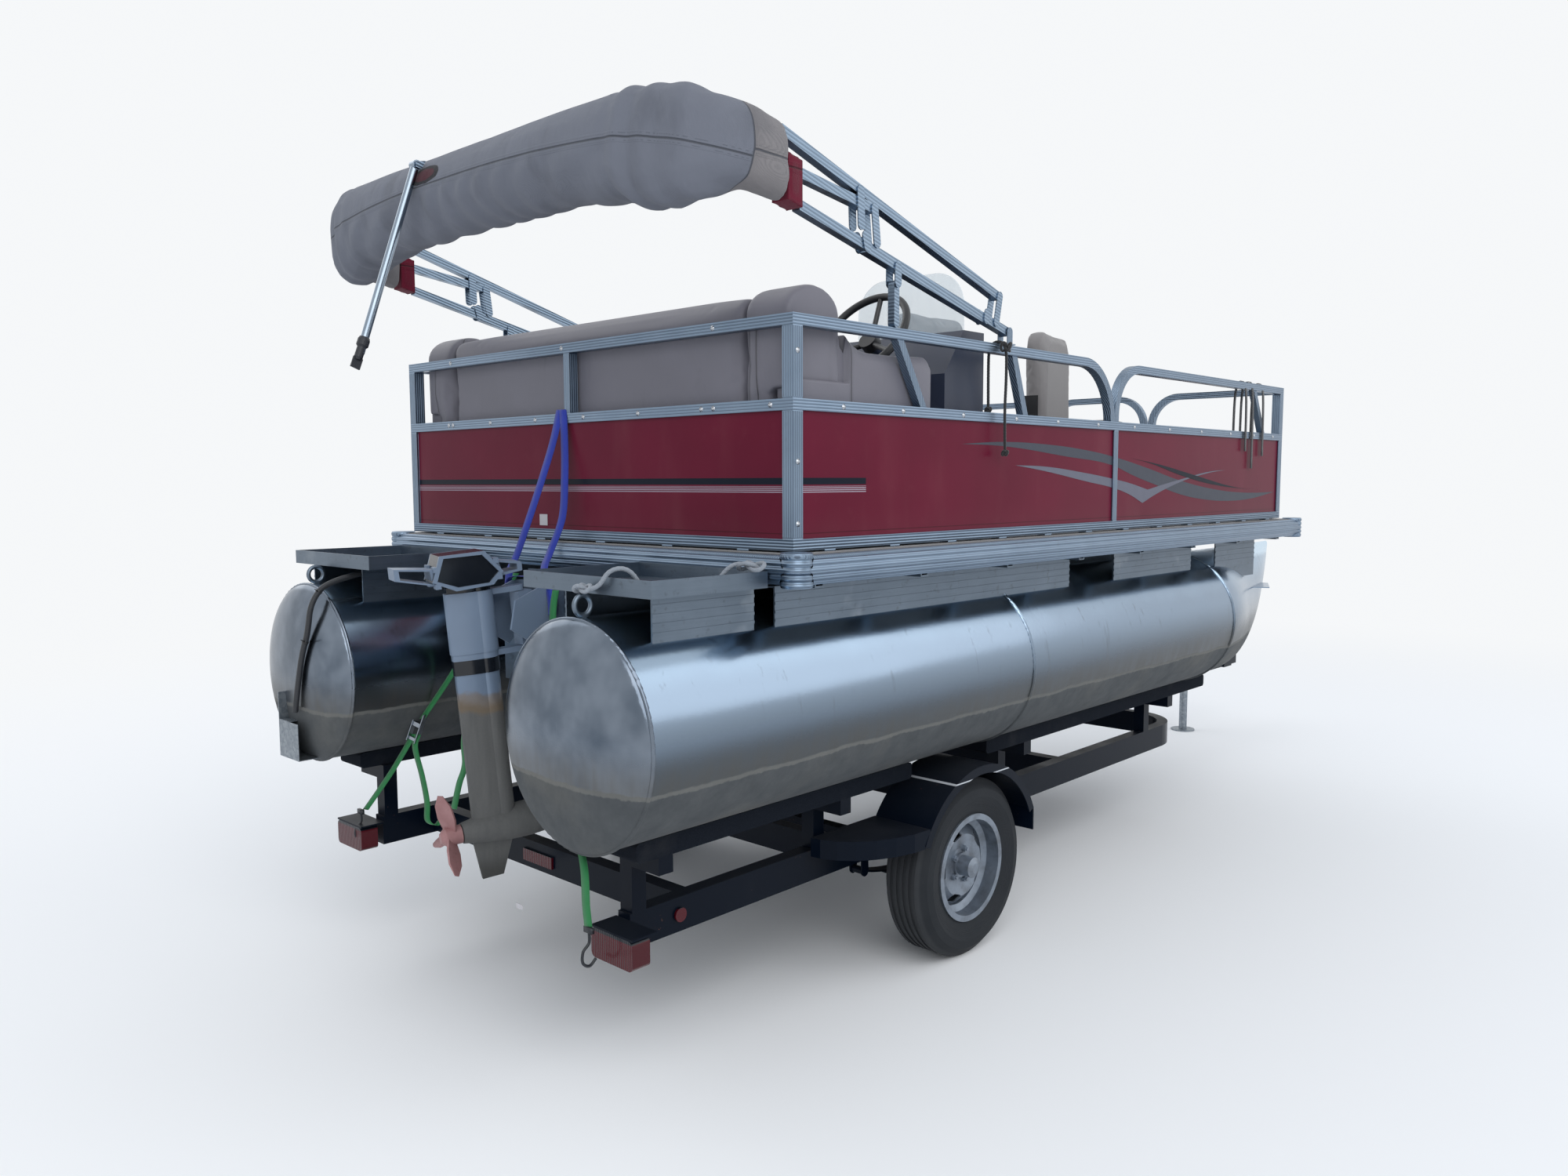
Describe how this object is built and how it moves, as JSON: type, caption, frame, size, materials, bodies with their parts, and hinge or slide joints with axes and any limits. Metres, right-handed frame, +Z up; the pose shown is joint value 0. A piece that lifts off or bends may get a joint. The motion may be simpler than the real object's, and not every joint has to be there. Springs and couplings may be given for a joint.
{
  "type": "pontoon boat on a trailer",
  "caption": "Pontoon boat with fenced deck, folded bimini, helm, seats and an electric outboard, parked on its bunk trailer with jack, winch stand and fenders.",
  "frame": {"origin": "on the ground under the middle of the whole object's box", "axes": "+X toward the bow and the trailer's coupler, +Y to port, +Z up"},
  "size_m": [6.2677, 2.18, 2.693],
  "materials": {
    "bright_aluminium": "mirror bright, dull below the waterline",
    "mill_aluminium": "mill finish",
    "extrusion": "satin anodised, ribbed",
    "red_panel": "gloss paint with stripes",
    "deck_carpet": "short pile",
    "grey_vinyl": "soft grained vinyl",
    "seat_plastic": "moulded plastic",
    "tan_vinyl": "grained vinyl",
    "black_plastic": "moulded plastic",
    "navy_plastic": "moulded plastic",
    "clear_screen": "clear sheet",
    "motor_grey": "satin paint",
    "motor_black": "gloss",
    "dirty_aluminium": "satin with dried mud",
    "copper_pink": "worn paint",
    "canvas": "woven canvas",
    "red_canvas": "woven canvas",
    "bright_tube": "polished",
    "black_paint": "gloss paint",
    "bunk_carpet": "worn carpet",
    "tyre_rubber": "worn",
    "wheel_silver": "silver paint",
    "red_lens": "ribbed lens",
    "galvanised": "zinc plated",
    "black_rubber": "matte"
  },
  "bodies": {
    "boat_and_trailer": {"pontoons": "bright_aluminium", "risers": "mill_aluminium", "stern_trays": "mill_aluminium", "deck_channels": "mill_aluminium", "deck": "deck_carpet", "rub_rail": "extrusion", "motor_pod": "mill_aluminium", "fence_stern": "extrusion", "fence_starboard": "extrusion", "fence_port": "extrusion", "fence_bow": "extrusion", "fence_panels": "red_panel", "bench_base": "seat_plastic", "bench_cushions": "grey_vinyl", "bench_backs": "grey_vinyl", "side_arms": "grey_vinyl", "chair_pedestals": "mill_aluminium", "console": "navy_plastic", "windscreen": "clear_screen", "outboard_clamp": "motor_grey", "bimini_mounts": "extrusion", "trailer_frame": "black_paint", "cross_members": "black_paint", "fenders": "black_paint", "bunks": "bunk_carpet", "axle": "black_paint", "tail_lamps": "red_lens", "coupler": "black_paint", "jack_tube": "galvanised", "winch_stand": "black_paint", "bow_stop": "black_rubber"},
    "bow_gate": {"gate_frame": "extrusion", "gate_panel": "red_panel"},
    "bimini": {"bimini_bows": "extrusion", "bimini_boot": "canvas", "bimini_cuffs": "red_canvas"},
    "bimini_leg_starboard": {"bimini_leg_starboard": "extrusion"},
    "bimini_leg_port": {"bimini_leg_port": "extrusion"},
    "bimini_strut": {"bimini_strut": "bright_tube"},
    "chair_aft": {"chair_aft_frame": "black_plastic", "chair_aft_cushions": "tan_vinyl"},
    "chair_fore": {"chair_fore_frame": "black_plastic", "chair_fore_cushions": "tan_vinyl"},
    "helm_wheel": {"steering_wheel": "black_plastic"},
    "motor_swivel": {"outboard_swivel": "motor_grey"},
    "motor": {"outboard_collar": "motor_grey", "outboard_band": "motor_black", "outboard_drive": "dirty_aluminium", "outboard_head": "motor_black", "outboard_frame": "motor_grey"},
    "motor_propeller": {"propeller": "copper_pink"},
    "wheel_starboard": {"tyre_starboard": "tyre_rubber", "wheel_starboard": "wheel_silver"},
    "wheel_port": {"tyre_port": "tyre_rubber", "wheel_port": "wheel_silver"},
    "jack": {"jack_leg": "galvanised"}
  },
  "joints": [
    {"name": "bow_gate_hinge", "type": "hinge", "parent": "boat_and_trailer", "child": "bow_gate", "pos_m": [1.074, 0.306, 1.4758], "axis": [0, 0, 1], "range_deg": [-90, 0]},
    {"name": "bimini_hinge", "type": "hinge", "parent": "boat_and_trailer", "child": "bimini", "pos_m": [-1.449, 0, 2.1618], "axis": [0, 1, 0], "range_deg": [0, 45]},
    {"name": "bimini_leg_starboard_hinge", "type": "hinge", "parent": "bimini", "child": "bimini_leg_starboard", "pos_m": [-2.062, -1, 2.245], "axis": [0, 1, 0], "range_deg": [0, 70]},
    {"name": "bimini_leg_port_hinge", "type": "hinge", "parent": "bimini", "child": "bimini_leg_port", "pos_m": [-2.062, 1, 2.245], "axis": [0, 1, 0], "range_deg": [0, 70]},
    {"name": "bimini_strut_hinge", "type": "hinge", "parent": "bimini", "child": "bimini_strut", "pos_m": [-2.928, 0.19, 2.64], "axis": [0, 1, 0], "range_deg": [0, 60]},
    {"name": "chair_aft_swivel", "type": "hinge", "parent": "boat_and_trailer", "child": "chair_aft", "pos_m": [-1.074, -0.25, 1.4698], "axis": [0, 0, 1], "continuous": true},
    {"name": "chair_fore_swivel", "type": "hinge", "parent": "boat_and_trailer", "child": "chair_fore", "pos_m": [-0.164, -0.6, 1.4698], "axis": [0, 0, 1], "continuous": true},
    {"name": "helm_wheel_turn", "type": "hinge", "parent": "boat_and_trailer", "child": "helm_wheel", "pos_m": [-1.744, -0.63, 2.1598], "axis": [-0.8192, 0, 0.5736], "range_deg": [-270, 270]},
    {"name": "motor_tilt", "type": "hinge", "parent": "boat_and_trailer", "child": "motor_swivel", "pos_m": [-2.684, 0, 1.3], "axis": [0, 1, 0], "range_deg": [0, 30]},
    {"name": "motor_steer", "type": "hinge", "parent": "motor_swivel", "child": "motor", "pos_m": [-2.71884, 0, 1.29665], "axis": [-0.0958, 0, 0.9954], "range_deg": [-4, 36]},
    {"name": "propeller_spin", "type": "hinge", "parent": "motor", "child": "motor_propeller", "pos_m": [-2.9055, 0.07387, 0.54731], "axis": [0.9568, -0.2756, 0.0921], "continuous": true},
    {"name": "wheel_starboard_spin", "type": "hinge", "parent": "boat_and_trailer", "child": "wheel_starboard", "pos_m": [-1.504, -0.856, 0.314], "axis": [0, 1, 0], "continuous": true},
    {"name": "wheel_port_spin", "type": "hinge", "parent": "boat_and_trailer", "child": "wheel_port", "pos_m": [-1.504, 0.856, 0.314], "axis": [0, 1, 0], "continuous": true},
    {"name": "jack_slide", "type": "slide", "parent": "boat_and_trailer", "child": "jack", "axis": [0, 0, 1], "range_m": [-0.1, 0.25]}
  ]
}
